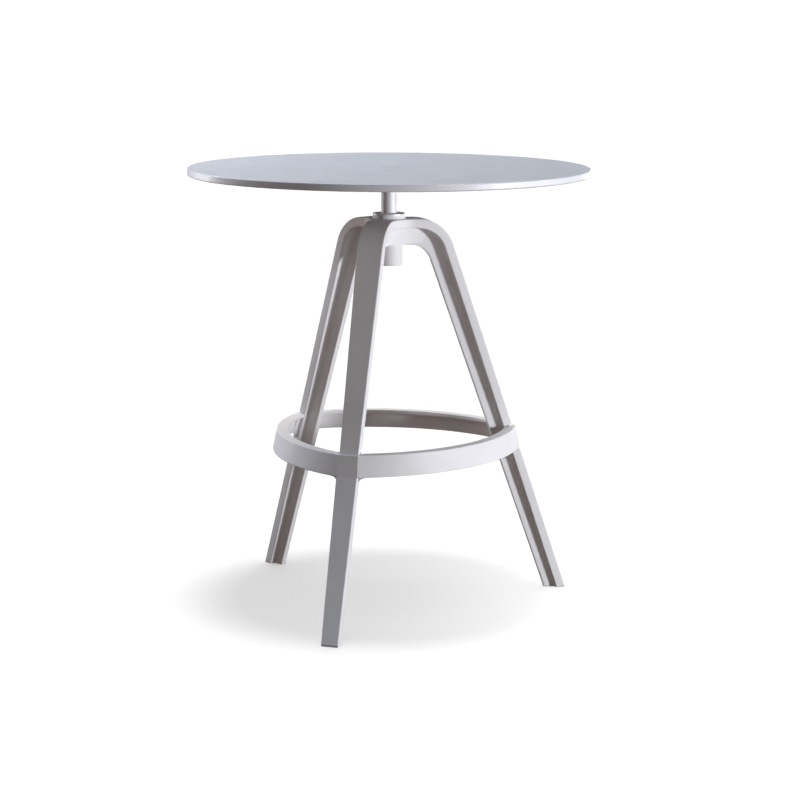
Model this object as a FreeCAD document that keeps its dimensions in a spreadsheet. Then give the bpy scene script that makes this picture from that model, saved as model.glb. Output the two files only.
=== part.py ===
"""Round dining table with a turning top.

A thin board stands on a spindle that turns in the hub of a one-piece moulded frame. Three T-section legs
arch out of the hub, lean outwards and are tied by an L-section ring. One leg points along +X, the floor is
at z = 0 and the spindle's axis is the Z axis.
"""

import FreeCAD, Part
import math
import os
import re
import Sketcher

# Driving dimensions, in millimetres and degrees
SIZES = {
    # Board
    "table_height": 760,
    "top_diameter": 690,
    "top_thickness": 12,
    "top_rim_round": 2,
    # Plate under the board, and what fastens it
    "plate_diameter": 220,
    "plate_thickness": 5,
    "plate_rim_chamfer": 1.5,
    "socket_diameter": 46,
    "socket_length": 22,
    "socket_fillet": 4,
    "screw_edge_distance": 20,
    "screw_count": 6,
    "screw_diameter": 6,
    "screw_hole_clearance": 0.3,
    "screw_head_diameter": 11,
    "screw_head_height": 3.5,
    "screw_key": 4,
    "screw_key_depth": 2,
    "insert_diameter": 9,
    "insert_length": 9,
    "insert_tip_gap": 0.5,
    "grub_count": 3,
    "grub_diameter": 6,
    "grub_drop": 12,
    # Spindle
    "spindle_reach": 88,
    "spindle_diameter": 27,
    "journal_diameter": 20,
    "journal_tail": 3,
    "spindle_chamfer": 1,
    "spindle_top_gap": 0.5,
    "groove_depth": 0.5,
    "groove_play": 0.1,
    # Fits: radial gaps of pieces that are seated, of the journal, and of what passes freely
    "seat_gap": 0.05,
    "running_gap": 0.05,
    "free_gap": 0.3,
    # Hub and what it holds
    "hub_wall": 6,
    "hub_collar_overhang": 4,
    "hub_collar_height": 7,
    "hub_collar_fillet": 3,
    "hub_corner_margin": 5.45,
    "hub_ring_thickness": 2.5,
    "hub_ring_round": 1,
    "hub_ring_spigot_gap": 0.5,
    "hub_ring_spigot_wall": 3,
    "seat_clearance": 1.5,
    "seat_depth": 6,
    "sleeve_diameter": 36,
    "sleeve_wall": 3,
    "bush_length": 18,
    "bush_flange_overhang": 1,
    "bush_flange_thickness": 2.5,
    "thrust_thickness": 1.5,
    "boss_length": 80,
    "boss_round": 1.5,
    "boss_wall": 4,
    "cavity_height": 20,
    "spring_diameter": 34,
    "spring_thickness": 1,
    "spring_height": 1.8,
    "washer_diameter": 32,
    "washer_thickness": 1.5,
    "clip_thickness": 1.2,
    "clip_width": 2.6,
    "clip_lug": 5,
    "clip_opening": 50,
    "clip_eye": 1.8,
    "cap_thickness": 3,
    "cap_skirt": 6,
    "cap_wall": 2,
    # Legs
    "foot_radius": 325.5,
    "foot_depth": 37,
    "arch_reach": 94.1,
    "arch_radius": 66,
    "flange_thickness": 16,
    "foot_width": 30,
    "lower_leg_width": 37.4,
    "upper_leg_width": 34.2,
    "arch_width": 45.4,
    "width_blend": 2000,
    "waist_blend": 200,
    "edge_round": 2,
    "web_thickness": 10.5,
    "web_arch_setback": 29.8,
    "web_arch_radius": 40,
    "web_hub_depth": 46,
    "web_round": 1.5,
    "root_fillet": 6,
    "skirt_run": 22,
    "skirt_flare": 12,
    "skirt_rise": 3,
    # Ring that ties the legs
    "ring_bottom": 265,
    "ring_height": 36.4,
    "ring_draft": 11.5,
    "ring_facet_margin": 0.2,
    "ring_bulge": 67.9,
    "ring_wall": 6,
    "ring_lip_width": 18.5,
    "ring_lip_thickness": 7,
    "ring_round": 1.5,
    "corner_above": 8,
    "corner_below": 11,
    "corner_depth": 5,
    "corner_thickness": 4.5,
    "corner_overlap": 0.5,
    # Glides under the feet
    "glide_thickness": 3,
    "glide_inset": 0.6,
    "glide_screw_diameter": 4,
    "glide_screw_length": 16,
    "glide_head_diameter": 8,
    "glide_head_cover": 0.2,
    "glide_head_rim": 0.3,
    # Lengths by which a cut runs past the solid that it cuts, and by which a leg is made over-long
    "cut_margin": 1,
    "foot_allowance": 20,
}

# Sizes that are tied to the driving dimensions, each as a formula of the sheet
TIED_SIZES = {
    "screw_circle": "plate_diameter - 2 * screw_edge_distance",
    "hub_height": "table_height - spindle_reach",
    "boss_bottom": "hub_height - boss_length",
    "boss_diameter": "sleeve_diameter + 2 * hub_wall",
    "hub_collar_diameter": "boss_diameter + 2 * hub_collar_overhang",
    "cavity_diameter": "boss_diameter - 2 * boss_wall",
    "bush_flange_diameter": "sleeve_diameter + 2 * bush_flange_overhang",
    "seat_diameter": "bush_flange_diameter + 2 * seat_clearance",
    "hub_ring_spigot": "seat_depth - bush_flange_thickness - thrust_thickness - hub_ring_spigot_gap",
    "leg_lean": "atan((foot_radius - arch_reach) / hub_height) / 1 deg",
    "arch_flat": "arch_reach - arch_radius * tan(45 - leg_lean / 2)",
    "hub_corner_radius": "(arch_flat - hub_corner_margin - arch_width / 2 / tan(60)) / tan(30)",
    "web_foot_radius": "foot_radius - foot_depth",
    "web_bottom": "hub_height - web_hub_depth",
    "web_lean": "atan((web_foot_radius - arch_reach + web_arch_setback) / web_bottom) / 1 deg",
    "ring_facet": "foot_radius - tan(leg_lean) * ring_bottom",
    "ring_facet_half": "lower_leg_width / 2 - ring_facet_margin",
    "ring_side": "ring_facet / 2 + ring_facet_half * sin(60) + ring_bulge",
    "ring_arc_offset": "(ring_facet^2 + ring_facet_half^2 - ring_side^2) / (2 * ring_bulge)",
    "ring_arc_radius": "ring_side + ring_arc_offset",
    "glide_head_cone": "(glide_head_diameter - glide_screw_diameter) / 2",
    "glide_head_sink": "glide_thickness - glide_head_cover - glide_head_cone - glide_head_rim",
}

LEG_COUNT = 3
LEG_STEP = 360 / LEG_COUNT
GLIDE_NAMES = ("right_glide", "left_glide", "front_glide")
TOLERANCE = 0.02
SMOOTH_ANGLE = 10

# Heights that follow from the driving dimensions
BOARD_BOTTOM = "(table_height - top_thickness)"
PLATE_BOTTOM = f"({BOARD_BOTTOM} - plate_thickness)"
SOCKET_BOTTOM = f"({PLATE_BOTTOM} - socket_length)"
HUB_TOP = "(hub_height + hub_collar_height)"
SLEEVE_TOP = f"({HUB_TOP} - seat_depth)"
THRUST_BOTTOM = f"({SLEEVE_TOP} + bush_flange_thickness)"
SHOULDER = f"({THRUST_BOTTOM} + thrust_thickness)"
CAVITY_TOP = "(boss_bottom + cavity_height)"
SPRING_TOP = f"({CAVITY_TOP} - bush_flange_thickness)"
WASHER_TOP = f"({SPRING_TOP} - spring_height)"
CLIP_TOP = f"({WASHER_TOP} - washer_thickness)"
CLIP_BOTTOM = f"({CLIP_TOP} - clip_thickness)"
RING_TOP = "(ring_bottom + ring_height)"
LIP_BOTTOM = f"({RING_TOP} - ring_lip_thickness)"

# Radii and places in a leg's own plane
BUSH_RADIUS = "(sleeve_diameter / 2 - sleeve_wall)"
JOURNAL = "(journal_diameter / 2)"
ARCH_RUN = "(arch_radius * tan(45 - leg_lean / 2))"
ARCH_START = f"(hub_height - {ARCH_RUN} * cos(leg_lean))"
WEB_CORNER = "(arch_reach - web_arch_setback)"
WEB_RUN = "(web_arch_radius * tan(45 - web_lean / 2))"
FOOT_FACE = "(foot_radius - tan(leg_lean) * glide_thickness)"
FOOT_INSIDE = f"({FOOT_FACE} - flange_thickness / cos(leg_lean))"
FOOT_WEB_END = "(web_foot_radius - tan(web_lean) * glide_thickness)"
GLIDE_SCREW_PLACE = FOOT_INSIDE
HEAD_RIM_TOP = "(glide_head_sink + glide_head_rim)"
HEAD_TOP = f"({HEAD_RIM_TOP} + glide_head_cone)"
LEG_END = "(foot_radius + foot_allowance / 4 * sin(leg_lean))"
LEG_END_HEIGHT = "(-foot_allowance / 4 * cos(leg_lean))"
WEB_END_DEPTH = (f"(({LEG_END} - web_foot_radius + tan(web_lean) * {LEG_END_HEIGHT})"
                 " / (cos(leg_lean) + tan(web_lean) * sin(leg_lean)))")
RING_TOP_INSET = "(ring_height * tan(ring_draft))"

document = FreeCAD.newDocument("round_table")
sheet = document.addObject("Spreadsheet::Sheet", "sizes")
cells = {**SIZES, **{alias: f"={formula}" for alias, formula in TIED_SIZES.items()}}
for row, (alias, content) in enumerate(cells.items(), start=1):
    sheet.set(f"A{row}", alias)
    sheet.setAlias(f"B{row}", alias)
    sheet.set(f"B{row}", str(content))
document.recompute()


def in_sheet(formula):
    """Returns a formula with each size written as a cell of the sheet."""
    return re.sub(r"[a-z_]+", lambda word: f"sizes.{word[0]}" if word[0] in cells else word[0], formula)


def value(formula):
    """Returns what a formula of sizes comes to."""
    return float(sheet.evalExpression(in_sheet(formula)))


def bind(thing, place, formula):
    """Ties a property of an object to a formula of sizes."""
    thing.setExpression(place, in_sheet(formula))


def new_body(label):
    """Starts a sub-part."""
    body = document.addObject("PartDesign::Body", label)
    body.Label = label
    return body


def origin_feature(body, role):
    """Returns one of a body's own origin planes or axes."""
    return next(item for item in body.Origin.OriginFeatures if item.Role == role)


def new_sketch(body, name, plane, offset="0", aside="0"):
    """Starts a sketch on one of the body's origin planes, or off it by an offset, its own origin moved aside."""
    sketch = body.newObject("Sketcher::SketchObject", name)
    sketch.AttachmentSupport = [(origin_feature(body, plane), "")]
    sketch.MapMode = "FlatFace"
    bind(sketch, "AttachmentOffset.Base.x", aside)
    bind(sketch, "AttachmentOffset.Base.z", offset)
    document.recompute()
    return sketch


def pin(sketch, side, end, across, up):
    """Ties a point of a sketch to two formulas, its places across and up."""
    for kind, formula, axis in (("DistanceX", across, -2), ("DistanceY", up, -1)):
        if formula == "0":
            sketch.addConstraint(Sketcher.Constraint("PointOnObject", side, end, axis))
        else:
            index = sketch.addConstraint(Sketcher.Constraint(kind, -1, 1, side, end, value(formula)))
            bind(sketch, f"Constraints[{index}]", formula)


def draw_arc(sketch, start, end, formula, turn):
    """Draws an arc between two points and returns its number and its ends in the order of travel."""
    radius = value(formula)
    half = (end - start) * 0.5
    leftward = FreeCAD.Vector(-half.y, half.x, 0).normalize()
    centre = start + half + leftward * turn * math.sqrt(radius**2 - half.Length**2)
    angles = [math.atan2(point.y - centre.y, point.x - centre.x) for point in (start, end)][::turn]
    circle = Part.Circle(centre, FreeCAD.Vector(0, 0, 1), radius)
    side = sketch.addGeometry(Part.ArcOfCircle(circle, *angles), False)
    index = sketch.addConstraint(Sketcher.Constraint("Radius", side, radius))
    bind(sketch, f"Constraints[{index}]", formula)
    return (side, 1, 2) if turn > 0 else (side, 2, 1)


def outline(sketch, corners):
    """Draws a closed outline.

    A corner holds its places across and up. Where an arc leads on to the next corner, it also holds the
    arc's radius and the way it turns, 1 to the left or -1 to the right.
    """
    points = [FreeCAD.Vector(value(corner[0]), value(corner[1]), 0) for corner in corners]
    sides = []
    for corner, start, end in zip(corners, points, points[1:] + points[:1]):
        if len(corner) == 2:
            sides.append((sketch.addGeometry(Part.LineSegment(start, end), False), 1, 2))
        else:
            sides.append(draw_arc(sketch, start, end, *corner[2:]))
    for (side, _, end), (following, start, _) in zip(sides, sides[1:] + sides[:1]):
        sketch.addConstraint(Sketcher.Constraint("Coincident", side, end, following, start))
    for (side, start, _), corner in zip(sides, corners):
        pin(sketch, side, start, *corner[:2])


def draw_circle(sketch, across, up, diameter):
    """Draws a circle of a given diameter."""
    centre = FreeCAD.Vector(value(across), value(up), 0)
    circle = Part.Circle(centre, FreeCAD.Vector(0, 0, 1), value(diameter) / 2)
    side = sketch.addGeometry(circle, False)
    index = sketch.addConstraint(Sketcher.Constraint("Diameter", side, value(diameter)))
    bind(sketch, f"Constraints[{index}]", diameter)
    pin(sketch, side, 3, across, up)


def extrude(body, kind, sketch, length, side="One side", backwards=False):
    """Pads or pockets a sketch by a length."""
    feature = body.newObject(f"PartDesign::{kind}", f"{sketch.Name}_{kind.lower()}")
    feature.Profile = sketch
    feature.SideType = side
    feature.Reversed = backwards
    bind(feature, "Length", length)
    document.recompute()
    return feature


def turn(body, kind, sketch):
    """Revolves a sketch about its upright axis, as a Revolution that adds or a Groove that cuts."""
    feature = body.newObject(f"PartDesign::{kind}", f"{sketch.Name}_{kind.lower()}")
    feature.Profile = sketch
    feature.ReferenceAxis = (sketch, ["V_Axis"])
    document.recompute()
    return feature


def loft(body, kind, first, second):
    """Lofts straight from one sketch to another, adding or cutting."""
    feature = body.newObject(f"PartDesign::{kind}", f"{first.Name}_loft")
    feature.Profile = first
    feature.Sections = [second]
    feature.Ruled = True
    document.recompute()
    return feature


def around_axis(body, name, count, originals=()):
    """Repeats features, or the whole body so far, evenly about the Z axis."""
    pattern = body.newObject("PartDesign::PolarPattern", name)
    pattern.Axis = (origin_feature(body, "Z_Axis"), [""])
    pattern.Angle = 360
    if originals:
        pattern.Originals = list(originals)
    else:
        pattern.TransformMode = "Whole shape"
    bind(pattern, "Occurrences", count)
    body.Tip = pattern
    document.recompute()
    return pattern


def round_off(body, name, radius, chosen):
    """Fillets the edges of the body so far that a test picks."""
    base = body.Tip
    edges = [f"Edge{number}" for number, edge in enumerate(base.Shape.Edges, start=1) if chosen(edge)]
    feature = body.newObject("PartDesign::Fillet", name)
    feature.Base = (base, edges)
    feature.Refine = False
    bind(feature, "Radius", radius)
    document.recompute()
    return feature


def turned(label, corners):
    """Makes a sub-part that is one outline turned about the Z axis."""
    body = new_body(label)
    sketch = new_sketch(body, f"{label}_profile", "XZ_Plane")
    outline(sketch, corners)
    turn(body, "Revolution", sketch)
    return body


def samples(edge):
    """Returns the two ends and the middle of an edge."""
    first, last = edge.FirstParameter, edge.LastParameter
    return [edge.valueAt(first), edge.valueAt((first + last) / 2), edge.valueAt(last)]


def lies_at_height(edge, height):
    """Tells whether an edge lies in a horizontal plane."""
    return all(abs(point.z - height) < TOLERANCE for point in samples(edge))


def is_sharp(edge, shape):
    """Tells whether the two faces along an edge meet at an angle."""
    faces = shape.ancestorsOfType(edge, Part.Face)
    if len(faces) != 2:
        return False
    middle = samples(edge)[1]
    normals = [face.normalAt(*face.Surface.parameter(middle)) for face in faces]
    return abs(normals[0].dot(normals[1])) < math.cos(math.radians(SMOOTH_ANGLE))


def make_table_top():
    """The board, with rounded rims and blind holes for the inserts in its underside."""
    body = turned("table_top", [
        ("0", BOARD_BOTTOM),
        ("top_diameter / 2 - top_rim_round", BOARD_BOTTOM, "top_rim_round", 1),
        ("top_diameter / 2", f"{BOARD_BOTTOM} + top_rim_round"),
        ("top_diameter / 2", "table_height - top_rim_round", "top_rim_round", 1),
        ("top_diameter / 2 - top_rim_round", "table_height"),
        ("0", "table_height"),
    ])
    holes = new_sketch(body, "insert_hole", "XY_Plane", BOARD_BOTTOM)
    draw_circle(holes, "screw_circle / 2", "0", "insert_diameter + 2 * seat_gap")
    cut = extrude(body, "Pocket", holes, "insert_length + insert_tip_gap", backwards=True)
    around_axis(body, "insert_holes", "screw_count", [cut])
    return body


def make_top_inserts():
    """Threaded inserts, flush with the underside of the board."""
    body = new_body("top_inserts")
    section = new_sketch(body, "insert", "XY_Plane", BOARD_BOTTOM)
    draw_circle(section, "screw_circle / 2", "0", "insert_diameter")
    draw_circle(section, "screw_circle / 2", "0", "screw_diameter + 2 * seat_gap")
    tube = extrude(body, "Pad", section, "insert_length")
    around_axis(body, "inserts", "screw_count", [tube])
    return body


def make_top_plate():
    """The round plate under the board, with the socket for the spindle."""
    body = turned("top_plate", [
        ("spindle_diameter / 2 + seat_gap", SOCKET_BOTTOM),
        ("socket_diameter / 2", SOCKET_BOTTOM),
        ("socket_diameter / 2", f"{PLATE_BOTTOM} - socket_fillet", "socket_fillet", -1),
        ("socket_diameter / 2 + socket_fillet", PLATE_BOTTOM),
        ("plate_diameter / 2 - plate_rim_chamfer", PLATE_BOTTOM),
        ("plate_diameter / 2", f"{PLATE_BOTTOM} + plate_rim_chamfer"),
        ("plate_diameter / 2", BOARD_BOTTOM),
        ("spindle_diameter / 2 + seat_gap", BOARD_BOTTOM),
    ])
    holes = new_sketch(body, "plate_hole", "XY_Plane", PLATE_BOTTOM)
    draw_circle(holes, "screw_circle / 2", "0", "screw_diameter + 2 * screw_hole_clearance")
    cut = extrude(body, "Pocket", holes, "plate_thickness", backwards=True)
    around_axis(body, "plate_holes", "screw_count", [cut])
    threads = new_sketch(body, "grub_hole", "YZ_Plane")
    draw_circle(threads, "0", f"{PLATE_BOTTOM} - grub_drop", "grub_diameter + 2 * seat_gap")
    bore = extrude(body, "Pocket", threads, "socket_diameter", backwards=True)
    around_axis(body, "grub_holes", "grub_count", [bore])
    return body


def hexagon(sketch, across, up, width):
    """Draws the six sides of a key socket of a given width across its flats."""
    angles = [60 * number for number in range(6)]
    reach = f"({width}) / 2 / cos(30)"
    outline(sketch, [(f"{across} + {reach} * cos({a})", f"{up} + {reach} * sin({a})") for a in angles])


def make_plate_screws():
    """Button screws through the plate into the inserts."""
    body = new_body("plate_screws")
    face = f"({PLATE_BOTTOM} - screw_head_height)"
    head = new_sketch(body, "screw_head", "XY_Plane", face)
    draw_circle(head, "screw_circle / 2", "0", "screw_head_diameter")
    head_pad = extrude(body, "Pad", head, "screw_head_height")
    shank = new_sketch(body, "screw_shank", "XY_Plane", PLATE_BOTTOM)
    draw_circle(shank, "screw_circle / 2", "0", "screw_diameter")
    shank_pad = extrude(body, "Pad", shank, "plate_thickness + insert_length")
    key = new_sketch(body, "screw_key_socket", "XY_Plane", face)
    hexagon(key, "screw_circle / 2", "0", "screw_key")
    key_cut = extrude(body, "Pocket", key, "screw_key_depth", backwards=True)
    around_axis(body, "screws", "screw_count", [head_pad, shank_pad, key_cut])
    return body


def make_collar_screws():
    """Grub screws that hold the spindle in the socket of the plate."""
    body = new_body("collar_screws")
    section = new_sketch(body, "grub", "YZ_Plane", "spindle_diameter / 2")
    draw_circle(section, "0", f"{PLATE_BOTTOM} - grub_drop", "grub_diameter")
    screw = extrude(body, "Pad", section, "(socket_diameter - spindle_diameter) / 2")
    key = new_sketch(body, "grub_key_socket", "YZ_Plane", "socket_diameter / 2")
    hexagon(key, "0", f"{PLATE_BOTTOM} - grub_drop", "grub_diameter / 2")
    key_cut = extrude(body, "Pocket", key, "grub_diameter / 2")
    around_axis(body, "grubs", "grub_count", [screw, key_cut])
    return body


def make_spindle():
    """The turned column: full diameter above the hub, a shoulder, and a journal with a groove."""
    groove = f"({JOURNAL} - groove_depth)"
    end = f"({CLIP_BOTTOM} - journal_tail)"
    top = f"({BOARD_BOTTOM} - spindle_top_gap)"
    return turned("spindle", [
        ("0", end),
        (f"{JOURNAL} - spindle_chamfer", end),
        (JOURNAL, f"{end} + spindle_chamfer"),
        (JOURNAL, f"{CLIP_BOTTOM} - groove_play"),
        (groove, f"{CLIP_BOTTOM} - groove_play"),
        (groove, CLIP_TOP),
        (JOURNAL, CLIP_TOP),
        (JOURNAL, SHOULDER),
        ("spindle_diameter / 2", SHOULDER),
        ("spindle_diameter / 2", f"{top} - spindle_chamfer"),
        ("spindle_diameter / 2 - spindle_chamfer", top),
        ("0", top),
    ])


def make_hub_ring():
    """The polished ring on the hub, with a spigot that seats it."""
    bore = "(spindle_diameter / 2 + free_gap)"
    spigot = "(seat_diameter / 2 - seat_gap)"
    rim = "(hub_collar_diameter / 2)"
    top = f"({HUB_TOP} + hub_ring_thickness)"
    return turned("hub_ring", [
        (bore, HUB_TOP),
        (f"{spigot} - hub_ring_spigot_wall", HUB_TOP),
        (f"{spigot} - hub_ring_spigot_wall", f"{HUB_TOP} - hub_ring_spigot"),
        (spigot, f"{HUB_TOP} - hub_ring_spigot"),
        (spigot, HUB_TOP),
        (rim, HUB_TOP),
        (rim, f"{top} - hub_ring_round", "hub_ring_round", 1),
        (f"{rim} - hub_ring_round", top),
        (f"{bore} + hub_ring_round", top, "hub_ring_round", 1),
        (bore, f"{top} - hub_ring_round"),
    ])


def ring_section(inner, outer, bottom, top):
    """Returns the corners of a plain ring of rectangular section."""
    return [(inner, bottom), (outer, bottom), (outer, top), (inner, top)]


def bush_section(flange_foot, flange_top, barrel_end):
    """Returns the corners of a flanged bush whose barrel runs from its flange to its end."""
    bore = f"({JOURNAL} + running_gap)"
    barrel = f"({BUSH_RADIUS} - seat_gap)"
    flange = "(bush_flange_diameter / 2)"
    corners = [(bore, barrel_end), (barrel, barrel_end), (barrel, flange_foot)]
    return corners + [(flange, flange_foot), (flange, flange_top), (bore, flange_top)]


def make_hub_parts():
    """The pieces inside the hub, from the sleeve down to the cap."""
    cavity = "(cavity_diameter / 2 - seat_gap)"
    spring_hole = f"({JOURNAL} + free_gap)"
    cap_top = "(boss_bottom + cap_thickness)"
    return [
        turned("hub_sleeve", ring_section(BUSH_RADIUS, "sleeve_diameter / 2", CAVITY_TOP, SLEEVE_TOP)),
        turned("upper_bush", bush_section(SLEEVE_TOP, THRUST_BOTTOM, f"{SLEEVE_TOP} - bush_length")),
        turned("thrust_washer", ring_section(spring_hole, "bush_flange_diameter / 2", THRUST_BOTTOM, SHOULDER)),
        turned("lower_bush", bush_section(CAVITY_TOP, SPRING_TOP, f"{CAVITY_TOP} + bush_length")),
        turned("disc_spring", [
            (spring_hole, WASHER_TOP),
            (f"{spring_hole} + spring_thickness", WASHER_TOP),
            ("spring_diameter / 2", f"{SPRING_TOP} - spring_thickness"),
            ("spring_diameter / 2", SPRING_TOP),
            ("spring_diameter / 2 - spring_thickness", SPRING_TOP),
            (spring_hole, f"{WASHER_TOP} + spring_thickness"),
        ]),
        turned("retaining_washer",
               ring_section(f"{JOURNAL} + seat_gap", "washer_diameter / 2", CLIP_TOP, WASHER_TOP)),
        turned("boss_cap", [
            ("0", "boss_bottom"),
            (cavity, "boss_bottom"),
            (cavity, f"{cap_top} + cap_skirt"),
            (f"{cavity} - cap_wall", f"{cap_top} + cap_skirt"),
            (f"{cavity} - cap_wall", cap_top),
            ("0", cap_top),
        ]),
    ]


def make_circlip():
    """The open ring in the spindle's groove, with two lugs at its ends."""
    body = new_body("circlip")
    inner = f"({JOURNAL} - groove_depth + seat_gap)"
    outer = f"({inner} + clip_width)"
    lug = f"({outer} + clip_lug)"
    near = "clip_opening / 2"
    far = "(clip_opening / 2 + 30)"
    section = new_sketch(body, "clip_section", "XY_Plane", CLIP_BOTTOM)
    outline(section, [
        (f"{inner} * cos({near})", f"{inner} * sin({near})"),
        (f"{lug} * cos({near})", f"{lug} * sin({near})"),
        (f"{lug} * cos({far})", f"{lug} * sin({far})"),
        (f"{outer} * cos({far})", f"{outer} * sin({far})", outer, 1),
        (f"-{outer}", "0", outer, 1),
        (f"{outer} * cos({far})", f"-{outer} * sin({far})"),
        (f"{lug} * cos({far})", f"-{lug} * sin({far})"),
        (f"{lug} * cos({near})", f"-{lug} * sin({near})"),
        (f"{inner} * cos({near})", f"-{inner} * sin({near})", inner, -1),
        (f"-{inner}", "0", inner, -1),
    ])
    middle = "(clip_opening / 2 + 15)"
    reach = f"({outer} + clip_lug / 2)"
    for sign in ("", "-"):
        draw_circle(section, f"{reach} * cos({middle})", f"{sign}{reach} * sin({middle})", "clip_eye")
    extrude(body, "Pad", section, "clip_thickness")
    return body


def depth_behind_face(point):
    """Returns how deep a point lies behind the outer face of the nearest leg, arch or hub."""
    step = math.radians(LEG_STEP)
    angle = math.atan2(point.y, point.x)
    across = math.hypot(point.x, point.y) * math.cos(angle - step * round(angle / step))
    centre = value("arch_flat")
    lean = math.radians(value("leg_lean"))
    if across < centre:
        return value("hub_height") - point.z
    if point.z > value(ARCH_START) - (value("arch_reach") - across) * math.sin(lean):
        pivot = value("hub_height - arch_radius")
        return value("arch_radius") - math.hypot(across - centre, point.z - pivot)
    return (value("foot_radius") - math.tan(lean) * point.z - across) * math.cos(lean)


def add_leg(body):
    """One leg along +X: the flange that arches into the hub, and the web behind it."""
    flange = new_sketch(body, "flange_profile", "XZ_Plane")
    bend_out = f"(arch_reach + {ARCH_RUN} * sin(leg_lean))"
    outline(flange, [
        (LEG_END, LEG_END_HEIGHT),
        (bend_out, ARCH_START, "arch_radius", 1),
        ("arch_flat", "hub_height"),
        ("0", "hub_height"),
        ("0", "hub_height - flange_thickness"),
        ("arch_flat", "hub_height - flange_thickness", "arch_radius - flange_thickness", -1),
        (f"{bend_out} - flange_thickness * cos(leg_lean)", f"{ARCH_START} - flange_thickness * sin(leg_lean)"),
        (f"{LEG_END} - flange_thickness * cos(leg_lean)", f"{LEG_END_HEIGHT} - flange_thickness * sin(leg_lean)"),
    ])
    extrude(body, "Pad", flange, "2 * arch_width", "Symmetric")
    trim_leg(body)
    web = new_sketch(body, "web_profile", "XZ_Plane")
    inside = "flange_thickness / 2"
    outline(web, [
        (f"{LEG_END} - {inside} * cos(leg_lean)", f"{LEG_END_HEIGHT} - {inside} * sin(leg_lean)"),
        (f"{bend_out} - {inside} * cos(leg_lean)", f"{ARCH_START} - {inside} * sin(leg_lean)",
         f"arch_radius - {inside}", 1),
        ("arch_flat", f"hub_height - {inside}"),
        ("0", f"hub_height - {inside}"),
        ("0", "web_bottom"),
        (f"{WEB_CORNER} - {WEB_RUN}", "web_bottom", "web_arch_radius", -1),
        (f"{WEB_CORNER} + {WEB_RUN} * sin(web_lean)", f"web_bottom - {WEB_RUN} * cos(web_lean)"),
        (f"{LEG_END} - {WEB_END_DEPTH} * cos(leg_lean)", f"{LEG_END_HEIGHT} - {WEB_END_DEPTH} * sin(leg_lean)"),
    ])
    extrude(body, "Pad", web, "web_thickness", "Symmetric")


def bend(sign, across, up, before, after, radius):
    """Returns two corners of an outline that runs upwards and bends, through an arc, from one angle off the
    vertical to another."""
    run = f"({radius} * abs(tan(({before} - {after}) / 2)))"
    way = 1 if (value(before) > value(after)) == (sign == "") else -1
    return [
        (f"{sign}({across} - {run} * sin({before}))", f"{up} - {run} * cos({before})", radius, way),
        (f"{sign}({across} + {run} * sin({after}))", f"{up} + {run} * cos({after})"),
    ]


def trim_leg(body):
    """Cuts the sides of the flange to its widths, seen along the leg's own plane."""
    trim = new_sketch(body, "flange_trim", "YZ_Plane")
    spread = "((lower_leg_width - foot_width) / 2 / ring_bottom)"
    below = f"atan{spread}"
    behind_ring = "atan((upper_leg_width - lower_leg_width) / 2 / ring_height)"
    above = f"atan((arch_width - upper_leg_width) / 2 / ({ARCH_START} - {RING_TOP}))"
    for sign in ("", "-"):
        outline(trim, [
            (f"{sign}(foot_width / 2 - {spread} * foot_allowance)", "-foot_allowance"),
            *bend(sign, "lower_leg_width / 2", "ring_bottom", below, behind_ring, "waist_blend"),
            *bend(sign, "upper_leg_width / 2", RING_TOP, behind_ring, above, "waist_blend"),
            *bend(sign, "arch_width / 2", ARCH_START, above, "atan(0)", "width_blend"),
            (f"{sign}arch_width / 2", "hub_height + cut_margin"),
            (f"{sign}2 * arch_width", "hub_height + cut_margin"),
            (f"{sign}2 * arch_width", "-foot_allowance"),
        ])
    extrude(body, "Pocket", trim, "foot_radius + foot_allowance", backwards=True)


def add_ring_corners(body):
    """The plate in the leg's flange whose hollow corners lead into the ring, above and below it."""
    plate = new_sketch(body, "corner_plate", "YZ_Plane", "foot_radius - corner_depth / cos(leg_lean)")
    plate.AttachmentOffset.Rotation = FreeCAD.Rotation(FreeCAD.Vector(1, 0, 0), -value("leg_lean"))
    bind(plate, "AttachmentOffset.Rotation.Angle", "-leg_lean")
    low = "(ring_bottom / cos(leg_lean))"
    high = f"({RING_TOP} / cos(leg_lean))"
    wide = "(lower_leg_width / 2 - corner_overlap)"
    slim = "(upper_leg_width / 2 - corner_overlap)"
    outline(plate, [
        (f"-{wide}", f"{low} - corner_below"),
        (wide, f"{low} - corner_below", "corner_below", -1),
        (f"{wide} + corner_below", low),
        (f"{slim} + corner_above", high, "corner_above", -1),
        (slim, f"{high} + corner_above"),
        (f"-{slim}", f"{high} + corner_above", "corner_above", -1),
        (f"-{slim} - corner_above", high),
        (f"-{wide} - corner_below", low, "corner_below", -1),
    ])
    extrude(body, "Pad", plate, "corner_thickness", backwards=True)


def three_way(reach, half, radius, way):
    """Returns the corners of a plan with a flat across each leg's direction and an arc from one to the next."""
    corners = []
    for number in range(LEG_COUNT):
        along = f"cos({LEG_STEP * number})"
        aside = f"sin({LEG_STEP * number})"
        corners += [
            (f"{reach} * {along} + {half} * {aside}", f"{reach} * {aside} - {half} * {along}"),
            (f"{reach} * {along} - {half} * {aside}", f"{reach} * {aside} + {half} * {along}", radius, way),
        ]
    return corners


def ring_outline(body, name, height, inset):
    """A sketch of the ring's plan: an arc between each two legs and a short flat at each leg."""
    sketch = new_sketch(body, name, "XY_Plane", height)
    facet = f"(ring_facet - ({inset}))"
    radius = f"(ring_arc_radius - ({inset}))"
    half = f"(sqrt({radius}^2 - ({facet} + ring_arc_offset / 2)^2) - ring_arc_offset * sin(60))"
    outline(sketch, three_way(facet, half, radius, 1))
    return sketch


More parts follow.
